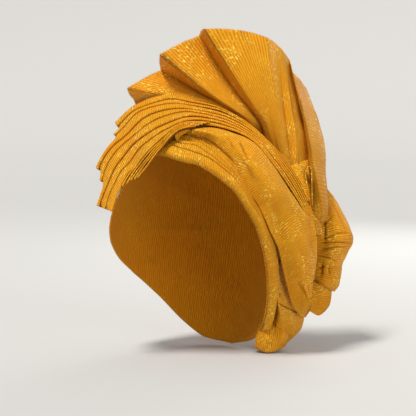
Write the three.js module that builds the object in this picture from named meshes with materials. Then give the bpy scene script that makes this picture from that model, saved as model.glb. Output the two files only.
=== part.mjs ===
import * as THREE from 'three';
import { mergeVertices } from 'three/addons/utils/BufferGeometryUtils.js';

// A gele: one long cloth pleated over the forehead, drawn into a tight bundle at the wearer's
// left temple, and opened above it into an accordion fan. Millimetres, x to the wearer's left,
// y to the back, z up, zero at the crown inside the cloth.

// The head that the cloth is tied on.
const HEAD_WIDTH = 154;
const HEAD_LENGTH = 196;
const CROWN_RISE = 120;
const JAW_DROP = 170;
const HEAD_LEAN = 0.18;
const FAN_TURN = THREE.MathUtils.degToRad(46.9);

// Cloth walls and the clearances between neighbouring folds.
const HEAD_EASE = 0.6;
const CAP_WALL = 1.6;
const RIM_WALL = 1.2;
const PLEAT_WALL = 1.3;
const CLOTH_WALL = 1.5;
const GAP = 0.45;

// Reach of the folds, as a factor on how far each one stands out from the head.
const FAN_REACH = 1;
const PLEAT_REACH = 1;
const WRAP_REACH = 1;
const RIM_BAND = 32;

const CAP_TOP = HEAD_EASE + CAP_WALL + GAP;
const INNER_SHARE = -0.14;
const PLEAT_SLOPE = 0.35;
const ROOT_SPREAD = 0.4;

// Edge of the face opening: angle round the head from the wearer's left, height / rise.
const RIM_ROWS = [
  [-270, -1.90],
  [-240, -1.86],
  [-220, -1.72],
  [-200, -1.50],
  [-180, -1.30],
  [-165, -1.16],
  [-150, -1.00],
  [-140, -0.86],
  [-133, -0.72],
  [-127, -0.57],
  [-120, -0.42],
  [-110, -0.31],
  [-100, -0.27],
  [-90, -0.26],
  [-60, -0.31],
  [-45, -0.35],
  [-21, -0.52],
  [-3, -0.81],
  [8, -1.07],
  [20, -1.35],
  [35, -1.63],
  [58, -1.82],
  [90, -1.90],
];

// Width of the pleated band above that edge: angle, share of the band.
const BAND_ROWS = [
  [-104, 0.12],
  [-95, 0.32],
  [-85, 0.62],
  [-75, 0.88],
  [-60, 1.00],
  [-45, 0.94],
  [-30, 0.80],
  [-10, 0.62],
  [10, 0.62],
  [30, 0.66],
  [62, 0.60],
];

// Pleats of the band, from the head outwards: share of the width, first and last angle.
const RIM_PLEATS = [
  { width: 1.00, from: -104, to: 52 },
  { width: 0.74, from: -102, to: 51.5 },
  { width: 0.50, from: -100, to: 51 },
  { width: 0.26, from: -98, to: 50.5 },
];

// Stations along the front pleats, from the wearer's right temple over the forehead to the
// knot and on down the wrap: inner fold edge, then outer, as across, out, up in head shares.
const PLEAT_ROWS = [
  [-1.00, 0.40, -0.69, -1.37, -0.15, -0.63],
  [-0.95, 0.33, -0.56, -1.33, -0.15, -0.35],
  [-0.87, 0.33, -0.42, -1.23, -0.12, -0.14],
  [-0.78, 0.37, -0.32, -1.06, -0.08, -0.02],
  [-0.66, 0.49, -0.21, -0.85, -0.02, 0.13],
  [-0.51, 0.51, -0.11, -0.54, 0.02, 0.21],
  [-0.29, 0.50, 0.00, -0.23, 0.08, 0.18],
  [0.04, 0.55, 0.00, 0.11, 0.15, 0.12],
  [0.33, 0.60, -0.06, 0.40, 0.25, 0.02],
  [0.57, 0.66, -0.16, 0.67, 0.35, -0.13],
  [0.82, 0.66, -0.35, 0.97, 0.42, -0.34],
  [1.02, 0.61, -0.53, 1.19, 0.45, -0.55],
  [1.22, 0.58, -0.73, 1.31, 0.42, -0.74],
  [1.33, 0.52, -0.84, 1.43, 0.34, -0.86],
  [1.42, 0.36, -1.15, 1.51, 0.16, -1.17],
  [1.44, 0.30, -1.36, 1.53, 0.10, -1.39],
  [1.43, 0.25, -1.53, 1.51, 0.05, -1.56],
];
const KNOT_STATION = 13;

// The front pleats, from the face backwards: place between the two edges, first station.
const FRONT_PLEATS = [
  { share: 0.00, from: 0 },
  { share: 0.18, from: 0 },
  { share: 0.38, from: 0 },
  { share: 0.55, from: 0.9 },
  { share: 0.72, from: 1.15 },
  { share: 0.87, from: 2.7 },
  { share: 1.00, from: 3 },
];

// Ribs of the fan in turn round the knot, mountains and valleys alternately. Each starts at a
// pleat station and share, at a height between root and edge, and has low, middle and tip
// points as across, out, up.
const FAN_RIBS = [
  { at: 4.8, share: 1.2, high: 0,
    path: [[-0.24, -0.20, 0.13], [-0.59, -0.28, 0.14], [-0.83, -0.30, 0.11]] },
  { at: 6.2, share: 1.2, high: 0,
    path: [[-0.10, -0.10, 0.15], [-0.50, -0.16, 0.18], [-0.90, -0.16, 0.19]] },
  { at: 7.4, share: 1.2, high: 0,
    path: [[0.05, 0.00, 0.15], [-0.41, -0.03, 0.21], [-0.98, 0.00, 0.28]] },
  { at: 7.8, share: 1.5, high: 0,
    path: [[0.17, -0.05, 0.13], [-0.19, -0.20, 0.26], [-0.63, -0.35, 0.43]] },
  { at: 8.4, share: 1.2, high: 0,
    path: [[0.41, 0.12, 0.04], [-0.08, 0.05, 0.26], [-0.65, 0.05, 0.56]] },
  { at: 8.8, share: 1.5, high: 0,
    path: [[0.58, 0.10, 0.01], [0.22, -0.10, 0.30], [-0.23, -0.30, 0.72]] },
  { at: 9.3, share: 1.2, high: 0,
    path: [[0.63, 0.25, 0.01], [0.35, 0.18, 0.27], [-0.18, 0.08, 0.77]] },
  { at: 9.7, share: 1.2, high: 0,
    path: [[0.74, 0.30, -0.05], [0.54, 0.24, 0.30], [0.24, 0.12, 0.76]] },
  { at: 10.1, share: 1.2, high: 0,
    path: [[0.85, 0.32, -0.13], [0.72, 0.25, 0.25], [0.57, 0.10, 0.70]] },
  { at: 10.4, share: 1.4, high: 0,
    path: [[0.94, 0.24, -0.16], [0.83, 0.12, 0.18], [0.72, -0.05, 0.63]] },
  { at: 10.8, share: 1.2, high: 0,
    path: [[1.05, 0.30, -0.19], [0.94, 0.15, 0.14], [0.79, -0.08, 0.58]] },
  { at: 11.4, share: 1.7, high: 0.1,
    path: [[1.20, 0.05, -0.26], [1.10, -0.15, 0.04], [0.87, -0.20, 0.52]] },
  { at: 12.3, share: 1.45, high: 0.6,
    path: [[1.26, 0.33, -0.36], [1.15, 0.20, -0.07], [0.91, -0.02, 0.42]] },
  { at: 12.5, share: 1.9, high: 0.6,
    path: [[1.43, 0.08, -0.40], [1.38, -0.10, -0.15], [1.12, -0.30, 0.28]] },
  { at: 11.8, share: 2.8, high: 0,
    path: [[1.36, -0.34, -0.24], [1.23, -0.55, 0.02], [0.95, -0.62, 0.39]] },
];

// Sections of the side wrap from the forehead to its tip: angle of its front edge, crest as
// across, out, up, and the pleat station and heights that its back edge follows.
const WRAP_ROWS = [
  { edge: -80, off: 0, crest: [-0.25, 0.56, -0.05], at: 6.1, high: 0.6, low: 0.5 },
  { edge: -52, off: 0, crest: [-0.01, 0.69, -0.07], at: 7.0, high: 0.75, low: 0.6 },
  { edge: -34, off: 0, crest: [0.23, 0.79, -0.13], at: 8.0, high: 0.85, low: 0.7 },
  { edge: -18, off: 0, crest: [0.56, 0.90, -0.33], at: 9.6, high: 0.95, low: 0.8 },
  { edge: -4, off: 0, crest: [0.80, 0.88, -0.52], at: 11.0, high: 1.0, low: 0.85 },
  { edge: 7, off: 1, crest: [1.02, 0.76, -0.74], at: 12.3, high: 1.05, low: 0.85 },
  { edge: 15, off: 3, crest: [1.12, 0.68, -0.91], at: 13.1, high: 1.05, low: 0.85 },
  { edge: 26, off: 7, crest: [1.22, 0.58, -1.15], at: 14.0, high: 1.05, low: 0.85 },
  { edge: 38, off: 19, crest: [1.31, 0.49, -1.34], at: 15.0, high: 1.0, low: 0.85 },
  { edge: 48, off: 38, crest: [1.39, 0.40, -1.51], at: 15.9, high: 0.98, low: 0.88 },
];

// Sections of the swath under it, round the nape: angle of its front edge, then three points.
const UNDER_ROWS = [
  { edge: 21, path: [[1.00, 0.42, -1.26], [1.10, 0.12, -1.28], [1.06, -0.15, -1.28]] },
  { edge: 31, path: [[1.04, 0.38, -1.46], [1.34, -0.04, -1.54], [1.10, -0.32, -1.48]] },
  { edge: 41, path: [[1.10, 0.22, -1.62], [1.37, -0.08, -1.74], [1.10, -0.36, -1.66]] },
  { edge: 54, path: [[1.06, 0.04, -1.75], [1.22, -0.14, -1.86], [1.00, -0.38, -1.78]] },
];

// The gathered end at the nape: top and bottom points of each section.
const GATHER_ROWS = [
  [[0.840, -0.14, -1.825], [0.820, -0.08, -1.855], [0.835, -0.12, -1.895]],
  [[0.95, -0.12, -1.82], [0.97, -0.02, -1.86], [0.96, -0.08, -1.92]],
  [[1.05, -0.12, -1.83], [1.09, -0.04, -1.87], [1.09, -0.10, -1.92]],
  [[1.15, -0.14, -1.89], [1.19, -0.11, -1.90], [1.19, -0.14, -1.92]],
];

// The ruffle behind the knot: sections from top to bottom, each from front to back.
const RUFFLE_ROWS = [
  { path: [[1.38, -0.06, -0.74], [1.44, -0.06, -0.64], [1.46, -0.16, -0.53], [1.30, -0.42, -0.60]],
    root: [1.0, -0.5, -0.62] },
  { path: [[1.40, 0.02, -0.89], [1.62, 0.06, -0.80], [1.82, -0.15, -0.90], [1.64, -0.50, -0.84]],
    root: [1.0, -0.6, -0.86] },
  { path: [[1.41, 0.00, -1.03], [1.66, 0.08, -1.01], [1.89, -0.15, -1.04], [1.68, -0.55, -1.05]],
    root: [1.0, -0.62, -1.05] },
  { path: [[1.42, -0.03, -1.20], [1.60, 0.06, -1.18], [1.79, -0.12, -1.22], [1.62, -0.50, -1.23]],
    root: [1.0, -0.62, -1.22] },
  { path: [[1.43, -0.06, -1.36], [1.60, 0.00, -1.40], [1.76, -0.12, -1.46], [1.62, -0.42, -1.45]],
    root: [1.0, -0.60, -1.4] },
];

// The flat tab that hangs below the ruffle.
const TAB_ROWS = [
  [[1.38, -0.107, -1.34], [1.55, -0.037, -1.38], [1.69, -0.112, -1.42]],
  [[1.37, -0.10, -1.51], [1.56, -0.12, -1.56], [1.69, -0.17, -1.56]],
  [[1.44, -0.08, -1.60], [1.56, -0.12, -1.65], [1.64, -0.16, -1.62]],
];

const GOLD = { color: 0xdd9420, roughness: 0.62, metalness: 0.12 };
const DEEP_GOLD = { color: 0xc98010, roughness: 0.66, metalness: 0.1 };

function place([across, out, up]) {
  const z = CROWN_RISE * up;
  const x = (HEAD_WIDTH / 2) * (Math.cos(FAN_TURN) * across + Math.sin(FAN_TURN) * out);
  const y = (HEAD_LENGTH / 2) * (Math.sin(FAN_TURN) * across - Math.cos(FAN_TURN) * out);
  return new THREE.Vector3(x, y + HEAD_LEAN * z, z);
}

// A point this many millimetres off the head; rise is its angle above the widest level.
function headPoint(angle, rise, off) {
  const tall = rise > 0 ? CROWN_RISE : JAW_DROP;
  const z = tall * Math.sin(rise) - CROWN_RISE;
  const x = (HEAD_WIDTH / 2) * Math.cos(rise) * Math.cos(angle);
  const y = (HEAD_LENGTH / 2) * Math.cos(rise) * Math.sin(angle);
  const normal = new THREE.Vector3(x / (HEAD_WIDTH / 2) ** 2, y / (HEAD_LENGTH / 2) ** 2, 0);
  normal.z = (z + CROWN_RISE) / tall ** 2 - HEAD_LEAN * normal.y;
  return new THREE.Vector3(x, y + HEAD_LEAN * z, z).addScaledVector(normal.normalize(), off);
}

// Smooth curve through the values of a column of rows, read at a row number.
function along(values, at) {
  const last = values.length - 1;
  const i = Math.min(Math.max(Math.floor(at), 0), last - 1);
  const t = at - i;
  const b = values[i];
  const c = values[i + 1];
  const a = i > 0 ? values[i - 1] : 2 * b - c;
  const d = i + 2 <= last ? values[i + 2] : 2 * c - b;
  const bend = 2 * a - 5 * b + 4 * c - d;
  return 0.5 * (2 * b + (c - a) * t + bend * t * t + (3 * b - a - 3 * c + d) * t ** 3);
}

function alongPoints(points, at) {
  const column = (axis) => along(points.map((point) => point[axis]), at);
  return new THREE.Vector3(column('x'), column('y'), column('z'));
}

// A table of [angle, value] rows read at an angle in degrees.
function readTable(rows, angle) {
  const last = rows.length - 2;
  let i = 0;
  while (i < last && rows[i + 1][0] < angle) i += 1;
  const t = THREE.MathUtils.clamp((angle - rows[i][0]) / (rows[i + 1][0] - rows[i][0]), 0, 1);
  return along(rows.map((row) => row[1]), i + t);
}

function rimRise(angle) {
  const z = CROWN_RISE * (readTable(RIM_ROWS, angle) + 1);
  return Math.asin(z / (z > 0 ? CROWN_RISE : JAW_DROP));
}

// A point above the edge of the face opening, measured up the head and off it.
function overRim(angle, height, off) {
  return headPoint(THREE.MathUtils.degToRad(angle), rimRise(angle) + height / CROWN_RISE, off);
}

function bandWidth(angle) {
  return RIM_BAND * readTable(BAND_ROWS, angle);
}

// How far a point stands out from the middle of the head, as a share of the head itself.
function headReach([across, out, up]) {
  const tall = up < -1 ? CROWN_RISE / JAW_DROP : 1;
  return Math.hypot(across, out, (up + 1) * tall);
}

// A point over the head in this direction: 0 lies on the cap, 1 stands out by the reach.
function overHead(toward, outwards, high) {
  const centre = place([0, 0, -1]);
  const skin = place(toward).sub(centre).divideScalar(headReach(toward));
  const root = skin.length() + 1.08 * CAP_TOP + CLOTH_WALL / 2;
  const tip = skin.length() * (1 + (outwards - 1) * PLEAT_REACH);
  return centre.addScaledVector(skin.normalize(), THREE.MathUtils.lerp(root, tip, high));
}

// Between the inner and the outer fold edge of the front pleats, or past them.
function betweenEdges(at, share) {
  return [0, 1, 2].map((i) => {
    const inner = along(PLEAT_ROWS.map((row) => row[i]), at);
    const outer = along(PLEAT_ROWS.map((row) => row[i + 3]), at);
    return inner + (outer - inner) * share;
  });
}

// The share where a pleat's root lies, behind its edge.
function rootShare(share) {
  return share + PLEAT_SLOPE + ROOT_SPREAD * share;
}

// A point of the family of pleats: station along it, share across it, height from its root on
// the cap to its fold edge. Shares below 0 and above 1 are the folds before and behind it.
function pleatPoint(at, share, high) {
  const toward = betweenEdges(at, THREE.MathUtils.lerp(rootShare(share), share, high));
  return overHead(toward, headReach(betweenEdges(at, share)), high);
}

function reach(point, factor) {
  const [across, out, up] = point;
  return place([across * factor, out * factor, (up + 1) * factor - 1]);
}

function grid(point, columns, rows) {
  const result = [];
  for (let i = 0; i <= columns; i += 1) {
    const column = [];
    for (let j = 0; j <= rows; j += 1) column.push(point(i / columns, j / rows));
    result.push(column);
  }
  return result;
}

function geometryFrom(vertices, faces) {
  const geometry = new THREE.BufferGeometry();
  const positions = vertices.flatMap((v) => [v.x, v.y, v.z]);
  geometry.setAttribute('position', new THREE.Float32BufferAttribute(positions, 3));
  geometry.setIndex(faces.flat());
  const merged = mergeVertices(geometry, 1e-4);
  const index = merged.index.array;
  const kept = [];
  for (let i = 0; i < index.length; i += 3) {
    const [a, b, c] = index.slice(i, i + 3);
    if (a !== b && b !== c && c !== a) kept.push(a, b, c);
  }
  merged.setIndex(kept);
  return merged;
}

// Turns the faces of a closed body outwards.
function facingOut(geometry) {
  const position = geometry.attributes.position;
  const index = geometry.index.array;
  const corner = [new THREE.Vector3(), new THREE.Vector3(), new THREE.Vector3()];
  let volume = 0;
  for (let i = 0; i < index.length; i += 3) {
    corner.forEach((v, n) => v.fromBufferAttribute(position, index[i + n]));
    volume += corner[0].dot(corner[1].cross(corner[2]));
  }
  if (volume > 0) return geometry;
  for (let i = 0; i < index.length; i += 3) {
    [index[i], index[i + 1]] = [index[i + 1], index[i]];
  }
  return geometry;
}

// The closed body between two grids of points; a ring joins its first and last columns.
function bodyBetween(front, back, ring = false) {
  const columns = front.length;
  const rows = front[0].length;
  const vertices = [...front.flat(), ...back.flat()];
  const at = (side, i, j) => side * columns * rows + (i % columns) * rows + j;
  const faces = [];
  const quad = (a, b, c, d) => faces.push([a, b, c], [a, c, d]);
  const spans = ring ? columns : columns - 1;
  for (let i = 0; i < spans; i += 1) {
    for (let j = 0; j < rows - 1; j += 1) {
      quad(at(0, i, j), at(0, i + 1, j), at(0, i + 1, j + 1), at(0, i, j + 1));
      faces.push([at(1, i, j), at(1, i + 1, j + 1), at(1, i + 1, j)]);
      faces.push([at(1, i, j), at(1, i, j + 1), at(1, i + 1, j + 1)]);
    }
    quad(at(0, i, 0), at(1, i, 0), at(1, i + 1, 0), at(0, i + 1, 0));
    quad(at(0, i, rows - 1), at(0, i + 1, rows - 1), at(1, i + 1, rows - 1), at(1, i, rows - 1));
  }
  if (!ring) {
    const end = columns - 1;
    for (let j = 0; j < rows - 1; j += 1) {
      quad(at(0, 0, j), at(0, 0, j + 1), at(1, 0, j + 1), at(1, 0, j));
      quad(at(0, end, j), at(1, end, j), at(1, end, j + 1), at(0, end, j + 1));
    }
  }
  return facingOut(geometryFrom(vertices, faces));
}

// A sheet of cloth with this wall about a surface.
function sheet(point, columns, rows, wall) {
  const middle = grid(point, columns, rows);
  const normal = (i, j) => {
    const left = middle[Math.max(i - 1, 0)][j];
    const right = middle[Math.min(i + 1, columns)][j];
    const below = middle[i][Math.max(j - 1, 0)];
    const above = middle[i][Math.min(j + 1, rows)];
    const side = right.clone().sub(left);
    return side.cross(above.clone().sub(below)).normalize();
  };
  const shift = (amount) => middle.map((column, i) => column.map(
    (p, j) => p.clone().addScaledVector(normal(i, j), amount),
  ));
  return bodyBetween(shift(wall / 2), shift(-wall / 2));
}

// A smooth surface through sections that hold the same number of points.
function loft(sections) {
  return (u, v) => {
    const points = sections.map((points) => alongPoints(points, v * (points.length - 1)));
    return alongPoints(points, u * (points.length - 1));
  };
}

const group = new THREE.Group();

function add(name, geometry, look) {
  const mesh = new THREE.Mesh(geometry, new THREE.MeshStandardMaterial(look));
  mesh.name = name;
  group.add(mesh);
}

function cap() {
  const skin = (off) => (u, v) => {
    const angle = -270 + 360 * u;
    const rise = THREE.MathUtils.lerp(rimRise(angle), Math.PI / 2, v);
    return headPoint(THREE.MathUtils.degToRad(angle), rise, off);
  };
  const columns = 48;
  const inner = grid(skin(HEAD_EASE), columns, 12).slice(0, columns);
  const outer = grid(skin(HEAD_EASE + CAP_WALL), columns, 12).slice(0, columns);
  return bodyBetween(outer, inner, true);
}

function rimPleat({ width, from, to }, layer) {
  const lift = CAP_TOP + layer * (RIM_WALL + GAP);
  const skin = (off) => (u, v) => {
    const angle = THREE.MathUtils.lerp(from, to, u);
    return overRim(angle, v * width * bandWidth(angle), off);
  };
  return bodyBetween(grid(skin(lift + RIM_WALL), 44, 2), grid(skin(lift), 44, 2));
}

function frontPleat({ share, from }) {
  const surface = (u, v) => pleatPoint(THREE.MathUtils.lerp(from, KNOT_STATION, u), share, v);
  return sheet(surface, 33, 3, PLEAT_WALL);
}

// A value of a table of sections, read part of the way along it.
function section(rows, u) {
  return (pick) => along(rows.map(pick), u * (rows.length - 1));
}

function fan() {
  const panels = FAN_RIBS.length - 1;
  const split = 2;
  const surface = (u, v) => {
    const i = Math.min(Math.floor(u * panels + 1e-9), panels - 1);
    const near = FAN_RIBS[i];
    const far = FAN_RIBS[i + 1];
    const mix = (pick) => THREE.MathUtils.lerp(pick(near), pick(far), u * panels - i);
    const [at, share, high] = ['at', 'share', 'high'].map((key) => mix((rib) => rib[key]));
    const points = [pleatPoint(at, share, high), pleatPoint(at, share, high + 0.5)];
    for (let n = 0; n < near.path.length; n += 1) {
      points.push(reach([0, 1, 2].map((axis) => mix((rib) => rib.path[n][axis])), FAN_REACH));
    }
    return alongPoints(points, v * 4);
  };
  return sheet(surface, panels * split, 11, CLOTH_WALL);
}

function sideWrap() {
  const surface = (u, v) => {
    const read = section(WRAP_ROWS, u);
    const edge = read((row) => row.edge);
    const at = read((row) => row.at);
    return alongPoints([
      overRim(edge, bandWidth(edge) + 2, CAP_TOP + CLOTH_WALL + read((row) => row.off)),
      reach([0, 1, 2].map((axis) => read((row) => row.crest[axis])), WRAP_REACH),
      pleatPoint(at, 2 * INNER_SHARE, read((row) => row.high)),
      pleatPoint(at, INNER_SHARE, read((row) => row.low)),
    ], v * 3);
  };
  return sheet(surface, 27, 9, CLOTH_WALL);
}

function underWrap() {
  const surface = (u, v) => {
    const read = section(UNDER_ROWS, u);
    const edge = read((row) => row.edge);
    const points = [overRim(edge, bandWidth(edge) + 3, CAP_TOP + 1.2 * CLOTH_WALL)];
    for (let n = 0; n < 3; n += 1) {
      points.push(reach([0, 1, 2].map((axis) => read((row) => row.path[n][axis])), WRAP_REACH));
    }
    return alongPoints(points, v * 3);
  };
  return sheet(surface, 12, 9, CLOTH_WALL);
}

function backRuffle() {
  const sections = RUFFLE_ROWS.map(({ path, root }) => [
    ...path.map((point) => reach(point, WRAP_REACH)),
    overHead(root, 1, 0),
  ]);
  return sheet(loft(sections), 13, 12, CLOTH_WALL);
}

function tableSheet(rows, columns, lines) {
  const sections = rows.map((row) => row.map((point) => reach(point, WRAP_REACH)));
  return sheet(loft(sections), columns, lines, CLOTH_WALL);
}

add('crown_cap', cap(), DEEP_GOLD);
RIM_PLEATS.forEach((row, i) => add(`rim_pleat_${i + 1}`, rimPleat(row, i), GOLD));
FRONT_PLEATS.forEach((row, i) => add(`front_pleat_${i + 1}`, frontPleat(row), GOLD));
add('crown_fan', fan(), GOLD);
add('side_wrap', sideWrap(), GOLD);
add('under_wrap', underWrap(), GOLD);
add('nape_gather', tableSheet(GATHER_ROWS, 9, 6), GOLD);
add('back_ruffle', backRuffle(), GOLD);
add('ruffle_tab', tableSheet(TAB_ROWS, 4, 4), DEEP_GOLD);

export default group;
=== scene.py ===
import math

import bpy
import numpy as np
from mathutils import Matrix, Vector


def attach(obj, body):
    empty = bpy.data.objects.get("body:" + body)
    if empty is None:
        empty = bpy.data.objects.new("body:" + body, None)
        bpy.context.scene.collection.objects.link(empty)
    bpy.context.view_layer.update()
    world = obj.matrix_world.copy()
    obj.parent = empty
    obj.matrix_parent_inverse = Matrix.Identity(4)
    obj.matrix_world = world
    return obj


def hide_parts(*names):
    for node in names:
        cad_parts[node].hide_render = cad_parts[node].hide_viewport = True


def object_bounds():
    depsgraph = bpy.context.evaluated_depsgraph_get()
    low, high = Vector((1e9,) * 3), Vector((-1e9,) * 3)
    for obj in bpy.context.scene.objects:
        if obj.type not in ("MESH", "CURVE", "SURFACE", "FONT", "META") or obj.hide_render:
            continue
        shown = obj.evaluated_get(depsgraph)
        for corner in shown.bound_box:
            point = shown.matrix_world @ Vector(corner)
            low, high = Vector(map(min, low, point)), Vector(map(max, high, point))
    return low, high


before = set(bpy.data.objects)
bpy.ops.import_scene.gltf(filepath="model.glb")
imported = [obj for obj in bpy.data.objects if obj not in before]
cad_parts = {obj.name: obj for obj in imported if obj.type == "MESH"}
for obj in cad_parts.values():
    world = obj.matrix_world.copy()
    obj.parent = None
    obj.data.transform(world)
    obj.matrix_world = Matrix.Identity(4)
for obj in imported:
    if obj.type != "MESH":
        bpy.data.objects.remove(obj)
cad_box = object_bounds()
bpy.ops.object.select_all(action="DESELECT")

MM = 0.001

# The head that the cloth is tied on, in mm, and its lean. Places on it are shares of its size,
# turned by FAN_TURN so that "out" points at the photo's view.
HEAD_WIDTH = 154
HEAD_LENGTH = 196
CROWN_RISE = 120
JAW_DROP = 170
HEAD_LEAN = 0.18
FAN_TURN = math.radians(46.9)

# Ease, walls, gap and width of the band in mm, as in the solids. CAP_TOP is how far above the
# head the cloth over the cap begins.
HEAD_EASE = 0.6
CAP_WALL = 1.6
CLOTH_WALL = 1.5
GAP = 0.45
RIM_BAND = 32
CAP_TOP = HEAD_EASE + CAP_WALL + GAP

# Walls of the modelled sheets in mm, thinnest in the folds, so that their creases stay open.
FOLD_SHEET = 0.45
CAP_SHEET = CAP_WALL * 0.9
WRAP_SHEET = 1.0
LOOSE_SHEET = 0.9
TUCK_SHEET = 0.8

# Shares of the way across the pleats: where the wrap is tucked in before them, how far their
# roots lie behind their edges, and how much more of that each further share brings.
INNER_SHARE = -0.14
PLEAT_SLOPE = 0.35
ROOT_SPREAD = 0.4

# Stations along the pleats: where their sway ends and over how many it fades, then where they
# begin to draw tight and where they are tight.
SWAY_END, SWAY_FADE = 11.5, 5
TIGHT_FROM, TIGHT_TO = 5.5, 8.5

# Radius of a pleat's rolled edge: share of the pleat's width, what tightness takes off that
# share, and limits in mm. Then the same for the dark gap behind it, where tightness adds.
ROLL_SHARE, ROLL_LOSS, ROLL_LEAST, ROLL_MOST = 0.21, 0.055, 0.42, 1.15
GAP_SHARE, GAP_GAIN, GAP_LEAST, GAP_MOST = 0.10, 0.35, 0.3, 1.9

# Every second crease is narrower. The others are softer where the pleats lie broad.
NARROW_BY, SOFT_BY = 0.4, 0.45

# The temple folds: width as a share of the front, then how far in mm the first is lifted and
# how much less each next one is.
TEMPLE_PITCH = 0.054
TEMPLE_LIFT, TEMPLE_STEP = 2.0, 0.12

# Radius of the rolled edge of the band's folds in mm.
RIM_ROLL = 0.85

# Edge of the face opening: angle round the head from the wearer's left, height / rise.
RIM_ROWS = [
    (-270, -1.90), (-240, -1.86), (-220, -1.72), (-200, -1.50), (-180, -1.30), (-165, -1.16),
    (-150, -1.00), (-140, -0.86), (-133, -0.72), (-127, -0.57), (-120, -0.42), (-110, -0.31),
    (-100, -0.27), (-90, -0.26), (-60, -0.31), (-45, -0.35), (-21, -0.52), (-3, -0.81),
    (8, -1.07), (20, -1.35), (35, -1.63), (58, -1.82), (90, -1.90),
]

# Width of the pleated band above that edge: angle, share of the band.
BAND_ROWS = [
    (-104, 0.12), (-95, 0.32), (-85, 0.62), (-75, 0.88), (-60, 1.00), (-45, 0.94),
    (-30, 0.80), (-10, 0.62), (10, 0.62), (30, 0.66), (62, 0.60),
]

# Pleats of the band, from the head outwards: share of the width, first and last angle.
RIM_PLEATS = [(1.00, -104, 52), (0.74, -102, 51.5), (0.50, -100, 51), (0.26, -98, 50.5)]

# Stations along the front pleats: inner fold edge, then outer, as across, out, up in head
# shares, from the wearer's right temple over the forehead to the knot and down the wrap.
PLEAT_ROWS = [
    (-1.00, 0.40, -0.69, -1.37, -0.15, -0.63),
    (-0.95, 0.33, -0.56, -1.33, -0.15, -0.35),
    (-0.87, 0.33, -0.42, -1.23, -0.12, -0.14),
    (-0.78, 0.37, -0.32, -1.06, -0.08, -0.02),
    (-0.66, 0.49, -0.21, -0.85, -0.02, 0.13),
    (-0.51, 0.51, -0.11, -0.54, 0.02, 0.21),
    (-0.29, 0.50, 0.00, -0.23, 0.08, 0.18),
    (0.04, 0.55, 0.00, 0.11, 0.15, 0.12),
    (0.33, 0.60, -0.06, 0.40, 0.25, 0.02),
    (0.57, 0.66, -0.16, 0.67, 0.35, -0.13),
    (0.82, 0.66, -0.35, 0.97, 0.42, -0.34),
    (1.02, 0.61, -0.53, 1.19, 0.45, -0.55),
    (1.22, 0.58, -0.73, 1.31, 0.42, -0.74),
    (1.33, 0.52, -0.84, 1.43, 0.34, -0.86),
    (1.42, 0.36, -1.15, 1.51, 0.16, -1.17),
    (1.44, 0.30, -1.36, 1.53, 0.10, -1.39),
    (1.43, 0.25, -1.53, 1.51, 0.05, -1.56),
]
KNOT_STATION = 13

# The front pleats, from the face backwards: place between the two edges, first station.
FRONT_PLEATS = [(0.00, 0), (0.18, 0), (0.38, 0), (0.55, 0.9), (0.72, 1.15), (0.87, 2.7), (1.00, 3)]

# Ribs of the fan: pleat station, share, height, then low, middle and tip points.
FAN_RIBS = [
    (4.8, 1.2, 0, (-0.24, -0.20, 0.13), (-0.59, -0.28, 0.14), (-0.83, -0.30, 0.11)),
    (6.2, 1.2, 0, (-0.10, -0.10, 0.15), (-0.50, -0.16, 0.18), (-0.90, -0.16, 0.19)),
    (7.4, 1.2, 0, (0.05, 0.00, 0.15), (-0.41, -0.03, 0.21), (-0.98, 0.00, 0.28)),
    (7.8, 1.5, 0, (0.17, -0.05, 0.13), (-0.19, -0.20, 0.26), (-0.63, -0.35, 0.43)),
    (8.4, 1.2, 0, (0.41, 0.12, 0.04), (-0.08, 0.05, 0.26), (-0.65, 0.05, 0.56)),
    (8.8, 1.5, 0, (0.58, 0.10, 0.01), (0.22, -0.10, 0.30), (-0.23, -0.30, 0.72)),
    (9.3, 1.2, 0, (0.63, 0.25, 0.01), (0.35, 0.18, 0.27), (-0.18, 0.08, 0.77)),
    (9.7, 1.2, 0, (0.74, 0.30, -0.05), (0.54, 0.24, 0.30), (0.24, 0.12, 0.76)),
    (10.1, 1.2, 0, (0.85, 0.32, -0.13), (0.72, 0.25, 0.25), (0.57, 0.10, 0.70)),
    (10.4, 1.4, 0, (0.94, 0.24, -0.16), (0.83, 0.12, 0.18), (0.72, -0.05, 0.63)),
    (10.8, 1.2, 0, (1.05, 0.30, -0.19), (0.94, 0.15, 0.14), (0.79, -0.08, 0.58)),
    (11.4, 1.7, 0.1, (1.20, 0.05, -0.26), (1.10, -0.15, 0.04), (0.87, -0.20, 0.52)),
    (12.3, 1.45, 0.6, (1.26, 0.33, -0.36), (1.15, 0.20, -0.07), (0.91, -0.02, 0.42)),
    (12.5, 1.9, 0.6, (1.43, 0.08, -0.40), (1.38, -0.10, -0.15), (1.12, -0.30, 0.28)),
    (11.8, 2.8, 0, (1.36, -0.34, -0.24), (1.23, -0.55, 0.02), (0.95, -0.62, 0.39)),
]

# Sections of the side wrap: front edge's angle and lift, crest point, pleat station and
# heights of its back edge.
WRAP_ROWS = [
    (-80, 0, -0.25, 0.56, -0.05, 6.1, 0.60, 0.50),
    (-52, 0, -0.01, 0.69, -0.07, 7.0, 0.75, 0.60),
    (-34, 0, 0.23, 0.79, -0.13, 8.0, 0.85, 0.70),
    (-18, 0, 0.56, 0.90, -0.33, 9.6, 0.95, 0.80),
    (-4, 0, 0.80, 0.88, -0.52, 11.0, 1.00, 0.85),
    (7, 1, 1.02, 0.76, -0.74, 12.3, 1.05, 0.85),
    (15, 3, 1.12, 0.68, -0.91, 13.1, 1.05, 0.85),
    (26, 7, 1.22, 0.58, -1.15, 14.0, 1.05, 0.85),
    (38, 19, 1.31, 0.49, -1.34, 15.0, 1.00, 0.85),
    (48, 38, 1.39, 0.40, -1.51, 15.9, 0.98, 0.88),
]

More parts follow.
